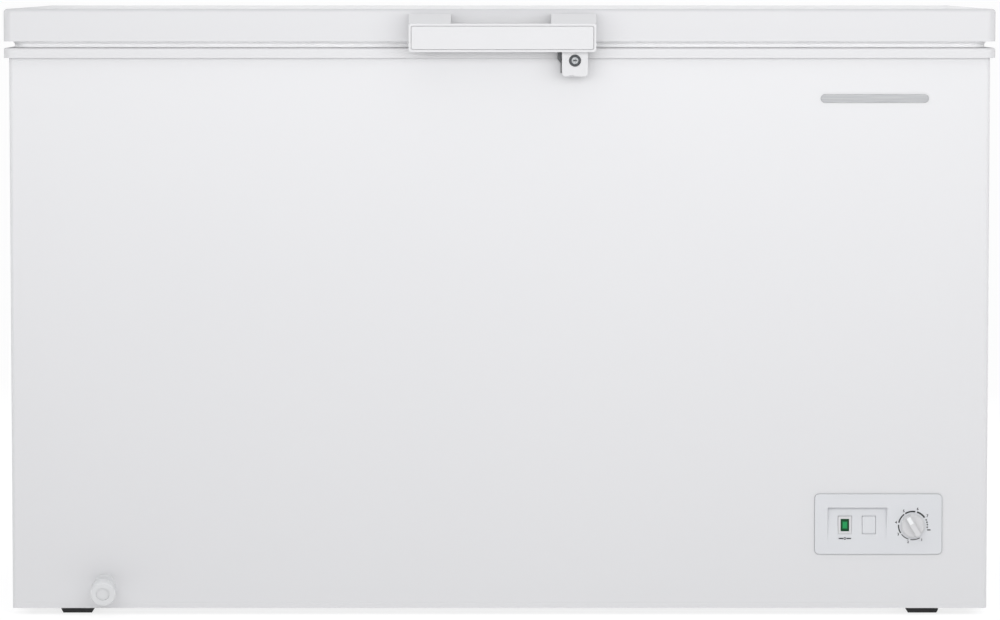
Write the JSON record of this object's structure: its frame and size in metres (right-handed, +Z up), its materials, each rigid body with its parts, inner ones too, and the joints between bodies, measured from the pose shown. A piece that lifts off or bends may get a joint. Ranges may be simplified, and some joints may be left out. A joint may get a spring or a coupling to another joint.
{
  "type": "chest freezer",
  "caption": "White chest freezer: insulated tub with a step over the compressor, sprung top lid with a bar handle and lock, hanging wire basket, front thermostat panel and front drain.",
  "frame": {"origin": "on the floor, at the middle of the whole freezer seen from above, handle and hinges included", "axes": "+X to the right as seen from the front, +Y to the back, +Z up; the front with the handle, the control panel and the drain faces -Y"},
  "size_m": [1.374, 0.7702, 0.845],
  "materials": {
    "white_steel": "gloss",
    "galvanised_steel": "satin",
    "liner_plastic": "satin",
    "insulation": "matte",
    "white_plastic": "gloss",
    "gasket_grey": "matte",
    "magnet": "matte",
    "panel_plastic": "satin",
    "lamp_green": "gloss",
    "dark_plastic": "satin",
    "badge_metal": "satin",
    "compressor_black": "satin",
    "copper": "satin",
    "coated_tube": "satin",
    "condenser_tube": "satin",
    "black_rubber": "matte",
    "zinc_steel": "satin",
    "spring_steel": "satin",
    "lock_metal": "polished",
    "slider_plastic": "satin",
    "white_wire": "gloss",
    "grey_plastic": "satin"
  },
  "bodies": {
    "cabinet": {"outer_shell": "white_steel", "back_panel": "galvanised_steel", "base_plate": "galvanised_steel", "inner_liner": "liner_plastic", "foam_body": "insulation", "top_collar": "white_plastic", "compressor_bulkhead": "galvanised_steel", "compressor_tray": "galvanised_steel", "compressor_shell": "compressor_black", "compressor_grommets": "black_rubber", "compressor_bolts": "zinc_steel", "terminal_cover": "dark_plastic", "discharge_line": "copper", "condenser_coil": "condenser_tube", "dryer_filter": "copper", "capillary_tube": "copper", "evaporator_coil": "coated_tube", "suction_line": "copper", "thermostat_body": "grey_plastic", "panel_bezel": "panel_plastic", "lamp_housing": "white_plastic", "lamp_lens": "lamp_green", "panel_blank": "panel_plastic", "drain_flange": "white_plastic", "drain_pipe": "white_plastic", "badge_plate": "badge_metal", "lock_keeper": "dark_plastic", "cord_gland": "black_rubber", "rear_grille": "galvanised_steel", "side_grille": "white_plastic", "foot_front_left": "black_rubber", "foot_front_right": "black_rubber", "foot_back_left": "black_rubber", "foot_back_right": "black_rubber", "hinge_housing_left": "zinc_steel", "hinge_housing_right": "zinc_steel", "hinge_pins": "zinc_steel", "hinge_screws": "zinc_steel"},
    "lid": {"lid_outer": "white_steel", "lid_liner": "liner_plastic", "lid_foam": "insulation", "lid_gasket": "gasket_grey", "gasket_magnets": "magnet", "handle_frame": "white_plastic", "handle_cover": "white_plastic", "handle_screws": "zinc_steel", "lock_housing": "white_plastic", "hinge_leaf_left": "zinc_steel", "hinge_leaf_right": "zinc_steel", "hinge_rollers": "slider_plastic"},
    "lock": {"lock_barrel": "lock_metal", "lock_cam": "zinc_steel"},
    "dial": {"dial_knob": "white_plastic"},
    "drain_sleeve": {"drain_sleeve": "white_plastic"},
    "drain_knob": {"drain_knob": "white_plastic"},
    "drain_plug": {"drain_plug": "grey_plastic"},
    "basket": {"basket_rim": "white_wire", "basket_mesh": "white_wire"},
    "hinge_sliders": {"hinge_sliders": "slider_plastic", "hinge_springs": "spring_steel"}
  },
  "joints": [
    {"name": "lid_hinge", "type": "hinge", "parent": "cabinet", "child": "lid", "pos_m": [0, 0.3771, 0.795], "axis": [-1, 0, 0], "range_deg": [0, 80], "stiffness_Nm_per_rad": 14, "springref_deg": 148.97},
    {"name": "hinge_spring_travel", "type": "slide", "parent": "cabinet", "child": "hinge_sliders", "axis": [0, 0, 1], "range_m": [0, 0.0065], "deforming": ["hinge_springs"]},
    {"name": "lock_turn", "type": "hinge", "parent": "lid", "child": "lock", "pos_m": [0.104, -0.3701, 0.774], "axis": [0, 1, 0], "range_deg": [0, 90]},
    {"name": "thermostat_turn", "type": "hinge", "parent": "cabinet", "child": "dial", "pos_m": [0.576, -0.3391, 0.126], "axis": [0, 1, 0], "range_deg": [-180, 127]},
    {"name": "drain_pull", "type": "slide", "parent": "cabinet", "child": "drain_sleeve", "axis": [0, -0.9613, -0.2756], "range_m": [0, 0.015]},
    {"name": "drain_turn", "type": "hinge", "parent": "drain_sleeve", "child": "drain_knob", "pos_m": [-0.551, -0.3401, 0.043], "axis": [0, -0.9613, -0.2756], "range_deg": [0, 180]},
    {"name": "drain_plug_lift", "type": "slide", "parent": "cabinet", "child": "drain_plug", "axis": [0, 0, 1], "range_m": [0, 0.04]},
    {"name": "basket_slide", "type": "slide", "parent": "cabinet", "child": "basket", "axis": [1, 0, 0], "range_m": [0, 0.88]}
  ],
  "couplings": [
    {"joint": "hinge_spring_travel", "follows": "lid_hinge", "m_per_rad": 0.00465}
  ]
}
